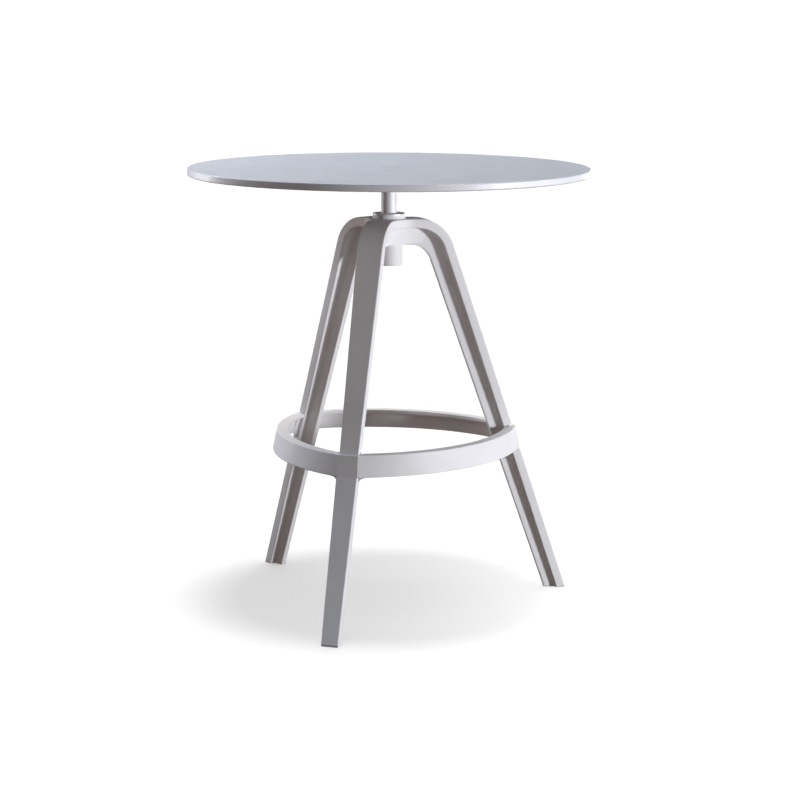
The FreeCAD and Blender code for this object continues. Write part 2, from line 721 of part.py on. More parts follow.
def make_tie_ring():
    """The L-section ring: a leaning wall with a lip that points inwards along its top."""
    body = new_body("tie_ring")
    lip_rise = "(ring_height - ring_lip_thickness)"
    loft(body, "AdditiveLoft",
         ring_outline(body, "ring_foot", "ring_bottom", "0"),
         ring_outline(body, "ring_head", RING_TOP, RING_TOP_INSET))
    loft(body, "SubtractiveLoft",
         ring_outline(body, "wall_foot", "ring_bottom", "ring_wall"),
         ring_outline(body, "wall_head", LIP_BOTTOM, f"ring_wall + {lip_rise} * tan(ring_draft)"))
    lip = ring_outline(body, "lip_edge", RING_TOP, f"{RING_TOP_INSET} + ring_lip_width")
    extrude(body, "Pocket", lip, "ring_height")
    levels = [value(height) for height in ("ring_bottom", LIP_BOTTOM, RING_TOP)]
    round_off(body, "ring_rounds", "ring_round",
              lambda edge: any(lies_at_height(edge, level) for level in levels))
    return body


def at_depth(edge, depth):
    """Tells whether an edge runs at one depth behind the outer face of a leg."""
    return all(abs(depth_behind_face(point) - depth) < TOLERANCE for point in samples(edge))


def beside_web(edge):
    """Tells whether an edge of the leg along +X lies in a side of its web."""
    half = value("web_thickness / 2")
    return all(abs(abs(point.y) - half) < TOLERANCE for point in samples(edge))


def is_web_root(edge):
    """Tells whether an edge of the leg along +X is where its web meets the flange."""
    return beside_web(edge) and at_depth(edge, value("flange_thickness"))


def is_web_end(edge):
    """Tells whether an edge of the leg along +X is on the free end of its web."""
    deepest_root = value("flange_thickness + root_fillet")
    return beside_web(edge) and min(depth_behind_face(point) for point in samples(edge)) > deepest_root


def is_flange_edge(edge):
    """Tells whether an edge runs along a side of a flange or of the hub between two flanges."""
    clear = min(math.hypot(point.x, point.y) for point in samples(edge)) > value("boss_diameter / 2")
    above_foot = samples(edge)[1].z > value("glide_thickness")
    return clear and above_foot and (at_depth(edge, 0) or at_depth(edge, value("flange_thickness")))


def add_hub(body):
    """The plate that joins the three flanges, with hollow corners, and the rounds of all flange edges."""
    plan = new_sketch(body, "hub_plan", "XY_Plane", "hub_height - flange_thickness")
    reach = "(arch_width / 2 / tan(60) + hub_corner_radius * tan(30))"
    outline(plan, three_way(reach, "arch_width / 2", "hub_corner_radius", -1))
    shape = extrude(body, "Pad", plan, "flange_thickness").Shape
    round_off(body, "flange_rounds", "edge_round", lambda edge: is_flange_edge(edge) and is_sharp(edge, shape))


def skirt_plan(body, name, height, run):
    """A sketch of the skirt's plan: hollow sides that each lead from one web to the next."""
    sketch = new_sketch(body, name, "XY_Plane", height)
    half = "(web_thickness / 2 - corner_overlap)"
    reach = f"(arch_flat + {run})"
    outline(sketch, three_way(reach, half, f"(({reach} - {half} / tan(60)) / tan(30))", -1))
    return sketch


def add_skirt(body):
    """The skirt under the hub's plate, which fills the corners between the webs and opens out upwards."""
    loft(body, "AdditiveLoft",
         skirt_plan(body, "skirt_foot", "web_bottom + skirt_rise", "skirt_run"),
         skirt_plan(body, "skirt_head", "hub_height - flange_thickness + skirt_rise", "(skirt_run + skirt_flare)"))


def cut_feet(body):
    """Cuts the over-long legs level above the glides, and drills them for the glides' screws."""
    level = new_sketch(body, "foot_plane", "XY_Plane", "glide_thickness")
    draw_circle(level, "0", "0", "2 * (foot_radius + foot_allowance)")
    extrude(body, "Pocket", level, "2 * foot_allowance")
    pilot = new_sketch(body, "glide_pilot", "XY_Plane", "glide_thickness")
    draw_circle(pilot, GLIDE_SCREW_PLACE, "0", "glide_screw_diameter + 2 * seat_gap")
    hole = extrude(body, "Pocket", pilot, "glide_screw_length", backwards=True)
    around_axis(body, "glide_pilots", str(LEG_COUNT), [hole])


def add_boss(body):
    """The boss under the hub and the collar on it."""
    profile = new_sketch(body, "boss_profile", "XZ_Plane")
    collar = "(hub_collar_diameter / 2)"
    outline(profile, [
        ("0", "boss_bottom"),
        ("boss_diameter / 2 - boss_round", "boss_bottom", "boss_round", 1),
        ("boss_diameter / 2", "boss_bottom + boss_round"),
        ("boss_diameter / 2", "hub_height - flange_thickness / 2"),
        (f"{collar} + hub_collar_fillet", "hub_height - flange_thickness / 2"),
        (f"{collar} + hub_collar_fillet", "hub_height", "hub_collar_fillet", -1),
        (collar, "hub_height + hub_collar_fillet"),
        (collar, HUB_TOP),
        ("0", HUB_TOP),
    ])
    turn(body, "Revolution", profile)


def bore_hub(body):
    """The stepped bore: a seat above, the hole for the sleeve, and a cavity below."""
    profile = new_sketch(body, "hub_bores", "XZ_Plane")
    sleeve = "sleeve_diameter / 2 + seat_gap"
    outline(profile, [
        ("0", "boss_bottom - cut_margin"),
        ("cavity_diameter / 2", "boss_bottom - cut_margin"),
        ("cavity_diameter / 2", CAVITY_TOP),
        (sleeve, CAVITY_TOP),
        (sleeve, SLEEVE_TOP),
        ("seat_diameter / 2", SLEEVE_TOP),
        ("seat_diameter / 2", f"{HUB_TOP} + cut_margin"),
        ("0", f"{HUB_TOP} + cut_margin"),
    ])
    turn(body, "Groove", profile)


def make_leg_frame():
    """The moulded frame: three legs, the hub with its boss and collar, and the ring."""
    body = new_body("leg_frame")
    add_leg(body)
    round_off(body, "web_roots", "root_fillet", is_web_root)
    round_off(body, "web_rounds", "web_round", is_web_end)
    add_ring_corners(body)
    around_axis(body, "legs", str(LEG_COUNT))
    add_hub(body)
    add_skirt(body)
    cut_feet(body)
    add_boss(body)
    ring = make_tie_ring()
    fuse = body.newObject("PartDesign::Boolean", "ring_on_legs")
    fuse.Type = "Fuse"
    fuse.setObjects([ring])
    document.recompute()
    bore_hub(body)
    return body


def make_glide(label, angle):
    """A T-shaped pad under one foot, with a countersunk hole for its screw."""
    body = new_body(label)
    section = new_sketch(body, f"{label}_section", "XY_Plane")
    half = "(foot_width / 2 - glide_inset)"
    stem = "(web_thickness / 2 - glide_inset)"
    inside = f"({FOOT_INSIDE} + glide_inset)"
    outline(section, [
        (f"{FOOT_WEB_END} + glide_inset", f"-{stem}"),
        (inside, f"-{stem}"),
        (inside, f"-{half}"),
        (f"{FOOT_FACE} - glide_inset", f"-{half}"),
        (f"{FOOT_FACE} - glide_inset", half),
        (inside, half),
        (inside, stem),
        (f"{FOOT_WEB_END} + glide_inset", stem),
    ])
    extrude(body, "Pad", section, "glide_thickness")
    sink = new_sketch(body, f"{label}_sink", "XZ_Plane", aside=GLIDE_SCREW_PLACE)
    head = "(glide_head_diameter / 2 + seat_gap)"
    shank = "(glide_screw_diameter / 2 + seat_gap)"
    outline(sink, [
        ("0", "-cut_margin"),
        (head, "-cut_margin"),
        (head, HEAD_RIM_TOP),
        (shank, HEAD_TOP),
        (shank, "glide_thickness + cut_margin"),
        ("0", "glide_thickness + cut_margin"),
    ])
    turn(body, "Groove", sink)
    body.Placement = FreeCAD.Placement(FreeCAD.Vector(), FreeCAD.Rotation(FreeCAD.Vector(0, 0, 1), angle))
    return body


def make_glide_screws():
    """Countersunk screws, one up through each glide into its foot."""
    body = new_body("glide_screws")
    profile = new_sketch(body, "glide_screw", "XZ_Plane", aside=GLIDE_SCREW_PLACE)
    shank = "(glide_screw_diameter / 2)"
    tip = "(glide_thickness + glide_screw_length - insert_tip_gap)"
    outline(profile, [
        ("0", "glide_head_sink"),
        ("glide_head_diameter / 2", "glide_head_sink"),
        ("glide_head_diameter / 2", HEAD_RIM_TOP),
        (shank, HEAD_TOP),
        (shank, f"{tip} - {shank}"),
        ("0", tip),
    ])
    screw = turn(body, "Revolution", profile)
    around_axis(body, "glide_screw_set", str(LEG_COUNT), [screw])
    return body


def make_all():
    """Builds every sub-part and returns them in the order in which they are written."""
    glides = [make_glide(label, LEG_STEP * number) for number, label in enumerate(GLIDE_NAMES)]
    board = [make_table_top(), make_top_inserts(), make_top_plate(), make_plate_screws()]
    column = [make_collar_screws(), make_spindle(), make_hub_ring(), make_circlip()]
    return board + column + make_hub_parts() + [make_leg_frame()] + glides + [make_glide_screws()]


def main():
    """Builds the table, tests every object and writes each sub-part to its own file."""
    nodes = make_all()
    document.recompute()
    for item in document.Objects:
        if "Invalid" in item.State or "Error" in item.State:
            raise RuntimeError(f"{item.Name} failed: {item.State}")
    for node in nodes:
        if node.Shape.isNull() or not node.Shape.isValid():
            raise RuntimeError(f"{node.Label} has no valid shape")
    os.makedirs("parts", exist_ok=True)
    for node in nodes:
        node.Shape.exportStep(f"parts/{node.Label}.step")


main()
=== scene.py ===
"""Round dining table with a turning top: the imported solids, dressed, lit and seen as in the photograph.

Lengths are in metres and angles in degrees. The floor is at z = 0 and the spindle's axis is the Z axis.
"""
import logging
import math
from dataclasses import dataclass, field
from enum import Enum
from typing import Any

import bpy
import numpy as np
from mathutils import Matrix, Vector


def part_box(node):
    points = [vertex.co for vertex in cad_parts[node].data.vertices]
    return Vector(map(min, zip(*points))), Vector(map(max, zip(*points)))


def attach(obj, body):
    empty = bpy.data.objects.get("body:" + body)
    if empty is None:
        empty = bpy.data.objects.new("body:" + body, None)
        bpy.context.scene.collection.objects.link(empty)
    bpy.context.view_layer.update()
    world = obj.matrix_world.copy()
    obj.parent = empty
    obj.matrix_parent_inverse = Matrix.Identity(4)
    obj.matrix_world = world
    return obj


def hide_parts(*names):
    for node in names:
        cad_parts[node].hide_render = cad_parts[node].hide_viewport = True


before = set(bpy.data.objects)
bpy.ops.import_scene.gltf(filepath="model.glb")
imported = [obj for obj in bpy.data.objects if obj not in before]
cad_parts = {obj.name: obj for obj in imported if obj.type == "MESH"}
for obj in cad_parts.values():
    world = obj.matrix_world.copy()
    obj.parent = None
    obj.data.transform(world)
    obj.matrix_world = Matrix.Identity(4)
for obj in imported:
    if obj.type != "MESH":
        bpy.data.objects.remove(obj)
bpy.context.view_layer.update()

LOG = logging.getLogger("round_table")
Colour = tuple[float, float, float]
Outline = tuple[tuple[float, float], ...]

# The part of a noise's range that clouds and drifts are spread over, and the peaks that show as specks.
CLOUD_RANGE = (0.3, 0.7)
SPECK_RANGE = (0.55, 0.8)
# How many specks there are to a grain, and how much of their tone shows.
SPECK_SCALE = 0.6
SPECK_SHARE = 0.5
# How many drifts of the roughness there are to a cloud.
DRIFT_SCALE = 3.0
# The edges of a screw that are sharper than this stay sharp.
CREASE = 32.0


class Body(Enum):
    """The two bodies of the table, which turn against each other."""

    FRAME = "frame"
    SWIVEL = "swivel"


class NodeNet:
    """Adds and links the nodes of one material or of the world."""

    def __init__(self, tree: bpy.types.NodeTree) -> None:
        """Empties a tree and keeps it."""
        self.tree = tree
        tree.nodes.clear()

    def add(self, kind: str, sockets: dict[Any, Any] | None = None, **settings: Any) -> bpy.types.Node:
        """Adds a node.

        Args:
            kind: the node's type, without its ShaderNode prefix.
            sockets: what each input takes, by name or number: another node's output, or a constant.
            settings: the node's own options.

        Returns:
            The new node.
        """
        node = self.tree.nodes.new(f"ShaderNode{kind}")
        for option, choice in settings.items():
            setattr(node, option, choice)
        for key, content in (sockets or {}).items():
            if isinstance(content, bpy.types.NodeSocket):
                self.tree.links.new(content, node.inputs[key])
            else:
                node.inputs[key].default_value = content
        return node

    def place(self) -> bpy.types.NodeSocket:
        """Returns the surface point in the object's own coordinates."""
        return self.add("TexCoord").outputs["Object"]

    def stretched(self, scale: Colour) -> bpy.types.NodeSocket:
        """Returns the surface point with each coordinate multiplied."""
        return self.add("Mapping", {"Vector": self.place(), "Scale": scale}).outputs["Vector"]

    def away(self) -> bpy.types.NodeSocket:
        """Returns the surface point's distance from the Z axis."""
        return self.add("VectorMath", {0: self.stretched((1.0, 1.0, 0.0))}, operation="LENGTH").outputs["Value"]

    def noise(self, scale: float, detail: float = 2.0, vector: Any = None) -> bpy.types.NodeSocket:
        """Returns a noise of about 0 to 1.

        Args:
            scale: how many features there are to a metre.
            detail: how many finer octaves are added.
            vector: the point to read, or None for the surface point.

        Returns:
            The noise's value.
        """
        sockets = {"Vector": vector or self.place(), "Scale": scale, "Detail": detail}
        return self.add("TexNoise", sockets).outputs[0]

    def span(self, value: Any, start: float, end: float, low: float, high: float) -> bpy.types.NodeSocket:
        """Returns a value mapped smoothly from one range to another, and held at its ends."""
        sockets = {"Value": value, 1: start, 2: end, 3: low, 4: high}
        return self.add("MapRange", sockets, interpolation_type="SMOOTHSTEP").outputs["Result"]

    def blend(self, share: Any, first: Any, second: Any) -> bpy.types.NodeSocket:
        """Mixes two colours.

        Args:
            share: how much there is of the second: another node's output, or a constant.
            first: the first colour, likewise.
            second: the second colour, likewise.

        Returns:
            The mixed colour.
        """
        node = self.add("Mix", data_type="RGBA")
        for key, content in ((0, share), (6, first), (7, second)):
            if isinstance(content, bpy.types.NodeSocket):
                self.tree.links.new(content, node.inputs[key])
            else:
                node.inputs[key].default_value = content if key == 0 else (*content, 1.0)
        return node.outputs[2]

    def bump(self, height: Any, depth: float, under: Any = None) -> bpy.types.NodeSocket:
        """Bends a normal by a height.

        Args:
            height: the height, another node's output.
            depth: how far a height of 1 stands out.
            under: the normal that is bent, or None for the surface's own.

        Returns:
            The bent normal.
        """
        sockets = {"Height": height, "Distance": depth, "Strength": 1.0}
        if under is not None:
            sockets["Normal"] = under
        return self.add("Bump", sockets).outputs["Normal"]


@dataclass(frozen=True)
class Finish:
    """A surface finish: its two close tones, its gloss and its grain.

    Attributes:
        name: the material's name.
        tone: the main colour.
        second_tone: the colour of its soft clouds.
        gloss: the lowest and highest roughness.
        grain: how many grains there are to a metre.
        grain_depth: how deep a grain is.
        metal: 1 for a bare metal, less for a dulled one, 0 for anything else.
        cloud: how many clouds there are to a metre.
    """

    name: str
    tone: Colour
    second_tone: Colour
    gloss: tuple[float, float] = (0.4, 0.5)
    grain: float = 1200.0
    grain_depth: float = 0.00003
    metal: float = 0.0
    cloud: float = 14.0

    def material(self) -> bpy.types.Material:
        """Makes the material.

        Returns:
            The new material, with the finish wired into its shader.
        """
        made = bpy.data.materials.new(self.name)
        made.use_nodes = True
        net = NodeNet(made.node_tree)
        shader = net.add("BsdfPrincipled", {"Metallic": self.metal})
        net.add("OutputMaterial", {"Surface": shader.outputs["BSDF"]})
        self.dress(net, shader)
        return made

    def dress(self, net: NodeNet, shader: bpy.types.Node) -> None:
        """Wires colour, roughness and normal into the shader."""
        self.link(net, shader, self.colour(net), self.roughness(net), self.normal(net))

    @staticmethod
    def link(net: NodeNet, shader: bpy.types.Node, colour: Any, roughness: Any, normal: Any) -> None:
        """Links the three main inputs of the shader."""
        for name, output in (("Base Color", colour), ("Roughness", roughness), ("Normal", normal)):
            net.tree.links.new(output, shader.inputs[name])

    def colour(self, net: NodeNet) -> bpy.types.NodeSocket:
        """Lays soft clouds and a fine speckle over the tone.

        Args:
            net: the material's nodes.

        Returns:
            The colour.
        """
        share = net.span(net.noise(self.cloud, 4.0), *CLOUD_RANGE, 0.0, 1.0)
        clouds = net.blend(share, self.tone, self.second_tone)
        specks = net.span(net.noise(self.grain * SPECK_SCALE, 1.0), *SPECK_RANGE, 0.0, SPECK_SHARE)
        return net.blend(specks, clouds, self.second_tone)

    def roughness(self, net: NodeNet) -> bpy.types.NodeSocket:
        """Returns a roughness that drifts over the surface."""
        return net.span(net.noise(self.cloud * DRIFT_SCALE, 3.0), *CLOUD_RANGE, *self.gloss)

    def normal(self, net: NodeNet) -> bpy.types.NodeSocket:
        """Returns the normal of the fine grain."""
        return net.bump(net.noise(self.grain, 2.0), self.grain_depth)


@dataclass(frozen=True)
class MouldedPlastic(Finish):
    """Matt moulded plastic: an even grain over faint sink marks, scuffed a very little near the floor.

    Attributes:
        scuff_tone: the colour of the scuffs.
        scuff_height: how far up from the floor they reach.
        scuff_share: how much of their tone shows at the floor.
        scuff_grain: how many scuffs there are to a metre.
        scuff_range: the peaks of a noise that show as scuffs.
        sink_grain: how many sink marks there are to a metre.
        sink_depth: how deep the sink marks are.
    """

    scuff_tone: Colour = (0.5, 0.48, 0.45)
    scuff_height: float = 0.07
    scuff_share: float = 0.12
    scuff_grain: float = 160.0
    scuff_range: tuple[float, float] = (0.5, 0.68)
    sink_grain: float = 18.0
    sink_depth: float = 0.00015

    def colour(self, net: NodeNet) -> bpy.types.NodeSocket:
        """Lays scuffs over the clouded tone, on the lowest stretch.

        Args:
            net: the material's nodes.

        Returns:
            The colour.
        """
        height = net.add("SeparateXYZ", {0: net.place()}).outputs["Z"]
        low = net.span(height, 0.0, self.scuff_height, self.scuff_share, 0.0)
        marks = net.span(net.noise(self.scuff_grain, 5.0), *self.scuff_range, 0.0, 1.0)
        share = net.add("Math", {0: low, 1: marks}, operation="MULTIPLY").outputs[0]
        return net.blend(share, super().colour(net), self.scuff_tone)

    def normal(self, net: NodeNet) -> bpy.types.NodeSocket:
        """Returns the normal of the grain over the sink marks."""
        sinks = net.bump(net.noise(self.sink_grain, 1.0), self.sink_depth)
        return net.bump(net.noise(self.grain, 2.0), self.grain_depth, sinks)


@dataclass(frozen=True)
class FacedBoard(Finish):
    """A compact board: a thin tinted sheet on both faces, and a white core that shows at the edge.

    Attributes:
        core_tone: the colour of the core.
        core_shade: how dark the core's specks are against it.
        core_grain: how many specks of the core there are to a metre.
        faces: the heights of the lower and the upper face.
        sheet: the thickness of a face sheet.
        edge_shade_tone: the colour of a thin line of painted shade on the core just under each sheet,
            standing in for the dark reflection on the rounded edge.
        edge_shade_share: how much of that painted shade shows.
        edge_shade_depth: how deep under a face the painted shade starts, in sheets.
        mark_tone: the colour of the faint mark in the middle of the faces.
        mark_reach: how far that mark reaches.
        mark_share: how much of its colour shows in the middle.
        mark_core: the part of its reach over which it is even.
    """

    core_tone: Colour = (0.76, 0.76, 0.765)
    core_shade: float = 0.95
    core_grain: float = 900.0
    faces: tuple[float, float] = (0.748, 0.76)
    sheet: float = 0.0007
    edge_shade_tone: Colour = (0.33, 0.33, 0.35)
    edge_shade_share: float = 0.8
    edge_shade_depth: float = 1.6
    # mark_tone: the darker colour towards the middle of the faces. mark_reach: how far from the axis that darker
    # colour reaches.
    mark_tone: Colour = (0.46, 0.485, 0.53)
    mark_reach: float = 0.017
    mark_share: float = 0.6
    mark_core: float = 0.2

    def colour(self, net: NodeNet) -> bpy.types.NodeSocket:
        """Puts the sheet's tone on the faces, the core's between them and a line of painted shade where they
        meet.

        Args:
            net: the material's nodes.

        Returns:
            The colour.
        """
        height = net.add("SeparateXYZ", {0: net.place()}).outputs["Z"]
        middle, half = sum(self.faces) / 2.0, (self.faces[1] - self.faces[0]) / 2.0
        offset = net.add("Math", {0: height, 1: middle}, operation="SUBTRACT").outputs[0]
        depth = net.add("Math", {0: offset}, operation="ABSOLUTE").outputs[0]
        # A thin line of painted shade on the core just under each sheet, standing in for the dark reflection on
        # the rounded edge.
        edge_shade = net.span(depth, half - self.edge_shade_depth * self.sheet, half - self.sheet, 0.0, self.edge_shade_share)
        share = net.span(depth, half - self.sheet, half - self.sheet / 2.0, 0.0, 1.0)
        specks = tuple(self.core_shade * part for part in self.core_tone)
        core = net.blend(net.noise(self.core_grain, 2.0), self.core_tone, specks)
        mark = net.span(net.away(), self.mark_core * self.mark_reach, self.mark_reach, self.mark_share, 0.0)
        sheet = net.blend(mark, super().colour(net), self.mark_tone)
        return net.blend(share, net.blend(edge_shade, core, self.edge_shade_tone), sheet)


@dataclass(frozen=True)
class TurnedMetal(Finish):
    """Metal turned on a lathe: fine rings round the Z axis.

    Attributes:
        rings: how many rings there are to a metre of height.
        ring_depth: how deep they are.
        drift: how many times they change to a metre across.
    """

    rings: float = 2600.0
    ring_depth: float = 0.00002
    drift: float = 30.0

    def marks(self, net: NodeNet) -> bpy.types.NodeSocket:
        """Returns a noise that changes fast along the axis and slowly round it."""
        return net.noise(1.0, 3.0, net.stretched((self.drift, self.drift, self.rings)))

    def roughness(self, net: NodeNet) -> bpy.types.NodeSocket:
        """Returns a roughness that follows the rings."""
        return net.span(self.marks(net), *CLOUD_RANGE, *self.gloss)

    def normal(self, net: NodeNet) -> bpy.types.NodeSocket:
        """Returns the normal of the rings."""
        return net.bump(self.marks(net), self.ring_depth)


FRAME_PLASTIC = MouldedPlastic("frame_moulding", (0.80, 0.795, 0.795), (0.76, 0.752, 0.75), (0.54, 0.64))
GLIDE_PLASTIC = MouldedPlastic("glide_moulding", (0.70, 0.695, 0.68), (0.62, 0.61, 0.59), (0.5, 0.62))
BOARD = FacedBoard("board_faces", (0.57, 0.595, 0.64), (0.54, 0.565, 0.61), (0.36, 0.46), 700.0, 0.00002)
SPINDLE_STEEL = TurnedMetal("spindle_satin", (0.80, 0.80, 0.80), (0.74, 0.74, 0.74), (0.6, 0.72), metal=0.4)
RING_CHROME = Finish("ring_polish", (0.78, 0.78, 0.79), (0.73, 0.73, 0.74), (0.4, 0.5), 400.0, 0.000002, 0.3)
PLATE_PAINT = Finish("plate_coating", (0.52, 0.52, 0.51), (0.47, 0.47, 0.46), (0.45, 0.58), 420.0, 0.00008)
SLEEVE_STEEL = TurnedMetal("sleeve_plain", (0.5, 0.5, 0.51), (0.42, 0.42, 0.43), (0.35, 0.5), metal=1.0)
FASTENER_ZINC = Finish("fastener_zinc", (0.62, 0.62, 0.64), (0.66, 0.64, 0.58), (0.28, 0.44), 2500.0, 0.00001,
                       1.0, 220.0)
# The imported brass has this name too, so it is what the inserts wear. They are hidden under the plate.
INSERT_BRASS = TurnedMetal("insert_brass", (0.72, 0.53, 0.25), (0.62, 0.44, 0.2), (0.25, 0.4), metal=1.0)
BUSH_PLASTIC = TurnedMetal("bush_dark", (0.035, 0.035, 0.036), (0.05, 0.05, 0.052), (0.4, 0.55))


@dataclass
class SubAssembly:
    """A group of pieces on one body.

    Attributes:
        body: the body that carries them.
        finishes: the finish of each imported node, by the node's name.
    """

    body: Body
    finishes: dict[str, Finish]

    @staticmethod
    def coat(finish: Finish) -> bpy.types.Material:
        """Returns the material of a finish's name, made here unless there is one."""
        return bpy.data.materials.get(finish.name) or finish.material()

    def build(self) -> None:
        """Makes the pieces that the solids lack; a plain group has none."""

    def dress(self) -> None:
        """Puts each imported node's finish on it."""
        for name, finish in self.finishes.items():
            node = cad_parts[name]
            for number in range(len(node.data.materials)):
                node.data.materials[number] = self.coat(finish)
            LOG.info("%s: %s in %s", self.body.value, name, finish.name)


# The wall of a six-lobed socket, in halves of its width: its mean distance from the axis, and its swing.
LOBE_MIDDLE = 1.14
LOBE_SWING = 0.14


class Drive(Enum):
    """The key socket of a screw."""

    HEXAGON = "hexagon"
    SIX_LOBES = "six_lobes"

    def reach(self, width: float, angle: np.ndarray) -> np.ndarray:
        """Returns how far the socket's wall stands from the axis.

        A hexagon's wall is half its width over the cosine of the angle to the nearest flat. Six lobes swing
        about a circle with the cosine of six times the angle.

        Args:
            width: the width across two flats, or across two hollows.
            angle: the directions round the axis.

        Returns:
            A distance for each direction.
        """
        if self is Drive.HEXAGON:
            sector = math.pi / 3.0
            return width / 2.0 / np.cos((angle + sector / 2.0) % sector - sector / 2.0)
        return width / 2.0 * (LOBE_MIDDLE + LOBE_SWING * np.cos(6.0 * angle))


# The rows of a key socket: the middle of its floor, the foot of its wall and its rim, as shares of the wall's
# distance from the axis and of the socket's depth.
SOCKET_REACH = (0.5, 1.0, 1.0)
SOCKET_DEPTH = (1.1, 1.0, 0.06)


@dataclass(frozen=True)
class Screw:
    """One kind of screw, along its own axis: the face of its head at 0 and its tip at its length.

    Attributes:
        drive: the kind of key socket.
        key: the socket's width.
        key_depth: the socket's depth.
        head: the radius and the place along the axis of each corner from the socket's rim to the thread.
        shank: the radius of the thread's crest.
        length: the length over all.
        point: the length of the tapered tip.
        tip: the radius at the end of the tip.
        pitch: the pitch of the thread.
        thread: the depth of the thread.
        columns: how many points there are round the axis.
        rows_to_pitch: how many rows of points there are to one turn of the thread.
    """

    drive: Drive
    key: float
    key_depth: float
    head: Outline
    shank: float
    length: float
    point: float
    tip: float
    pitch: float = 0.001
    thread: float = 0.00045
    columns: int = 48
    rows_to_pitch: int = 6

    def skin(self) -> np.ndarray:
        """Works out the screw's surface on a grid of rows along its outline and columns round its axis.

        The outline runs from the middle of the socket's floor up the socket's wall, over the head and along
        the shank to the tip, and is carried round the axis. On the shank the radius falls from the crest by
        the thread's depth times a triangle wave, whose phase is the place over the pitch less the turn.

        Returns:
            The points, by row and column.
        """
        angle = np.linspace(0.0, 2.0 * math.pi, self.columns, endpoint=False)
        wall = self.drive.reach(self.key, angle)
        socket = np.array(SOCKET_REACH)[:, None] * wall
        socket_at = np.array(SOCKET_DEPTH) * self.key_depth
        head, head_at = np.array(self.head).T
        thread_at = np.arange(head_at[-1], self.length - self.point, self.pitch / self.rows_to_pitch)
        phase = (thread_at[:, None] / self.pitch - angle / (2.0 * math.pi)) % 1.0
        shank = self.shank - self.thread * (1.0 - np.abs(2.0 * phase - 1.0))
        end = np.array([self.shank - self.thread, self.tip])
        end_at = np.array([self.length - self.point, self.length])
        flat = np.ones(self.columns)
        radius = np.concatenate([socket, head[:, None] * flat, shank, end[:, None] * flat])
        along = np.concatenate([socket_at, head_at, thread_at, end_at])[:, None] * flat
        return np.stack([radius * np.cos(angle), radius * np.sin(angle), along], axis=-1)


# How many corners the outline of a domed head has along its dome.
DOME_POINTS = 9


def button_head(rim: float, top: float, height: float, edge: float, shank: float) -> Outline:
    """Returns the outline of a domed head: a quarter of an ellipse, a short rim and a flat underside.

    Args:
        rim: the head's radius.
        top: the radius of the flat round the socket.
        height: the head's height.
        edge: the height of its rim.
        shank: the radius of the shank.

    Returns:
        The radius and the place along the axis of each corner.
    """
    turn = np.linspace(0.0, math.pi / 2.0, DOME_POINTS)
    dome = np.stack([top + (rim - top) * np.sin(turn), (height - edge) * (1.0 - np.cos(turn))], axis=-1)
    return tuple(map(tuple, dome.tolist())) + ((rim, height), (shank, height))


# The head radii and, for the grub screw, which has no head, the radius of its solid in the frame.
BUTTON_RADIUS = 0.0055
GRUB_RADIUS = 0.003
COUNTERSUNK_RADIUS = 0.004
# The crest of the thread of the plate screws and grub screws, and of the glide screws.
MACHINE_CREST = 0.00295
PLASTIC_CREST = 0.00195

PLATE_SCREW = Screw(
    Drive.HEXAGON, key=0.004, key_depth=0.002,
    head=button_head(BUTTON_RADIUS, top=0.0026, height=0.0035, edge=0.0005, shank=MACHINE_CREST),
    shank=MACHINE_CREST, length=0.0175, point=0.0008, tip=0.0021)
COLLAR_SCREW = Screw(
    Drive.HEXAGON, key=0.003, key_depth=0.003, head=((0.0024, 0.0), (MACHINE_CREST, 0.0005)),
    shank=MACHINE_CREST, length=0.0095, point=0.0009, tip=0.0015)
GLIDE_SCREW = Screw(
    Drive.SIX_LOBES, key=0.0026, key_depth=0.0013,
    head=((0.0037, 0.0), (COUNTERSUNK_RADIUS, 0.0002), (COUNTERSUNK_RADIUS, 0.0003), (PLASTIC_CREST, 0.0023)),
    shank=PLASTIC_CREST, length=0.018, point=0.003, tip=0.0002, pitch=0.0014, thread=0.0005)


@dataclass
class ScrewSet(SubAssembly):
    """Equal screws spaced evenly round the table's axis, in place of the plain solids of one node.

    Attributes:
        node: the node that they stand for.
        screw: the kind of screw.
        finish: the finish of the screws.
        seat: how far the face of the first head is from the axis, along +X, and its height.
        count: how many there are.
        lying: whether the screws point at the table's axis, and not straight up.
        piece: the object that is made.
    """

    node: str
    screw: Screw
    finish: Finish
    seat: tuple[float, float]
    count: int
    lying: bool = False
    piece: bpy.types.Object = field(init=False)

    def build(self) -> None:
        """Makes the screws as one mesh: the skin of one, turned to each place."""
        skin = self.screw.skin()
        if self.lying:
            skin = np.stack([-skin[..., 2], skin[..., 0], -skin[..., 1]], axis=-1)
        skin = skin + np.array([self.seat[0], 0.0, self.seat[1]])
        turn = 2.0 * math.pi * np.arange(self.count) / self.count
        cos, sin, zero, one = np.cos(turn), np.sin(turn), np.zeros(self.count), np.ones(self.count)
        turns = np.stack([cos, -sin, zero, sin, cos, zero, zero, zero, one], axis=-1).reshape(-1, 3, 3)
        skins = np.einsum("nij,rcj->nrci", turns, skin)
        points, faces = closed_skins(skins)
        mesh = mesh_of(self.node, points, faces)
        mesh.set_sharp_from_angle(angle=math.radians(CREASE))
        self.piece = bpy.data.objects.new(f"{self.node}_threaded", mesh)
        bpy.context.scene.collection.objects.link(self.piece)
        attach(self.piece, self.body.value)
        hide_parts(self.node)

    def dress(self) -> None:
        """Puts the finish on the screws."""
        self.piece.data.materials.append(self.coat(self.finish))
        LOG.info("%s: %s, %d screws in %s", self.body.value, self.piece.name, self.count, self.finish.name)


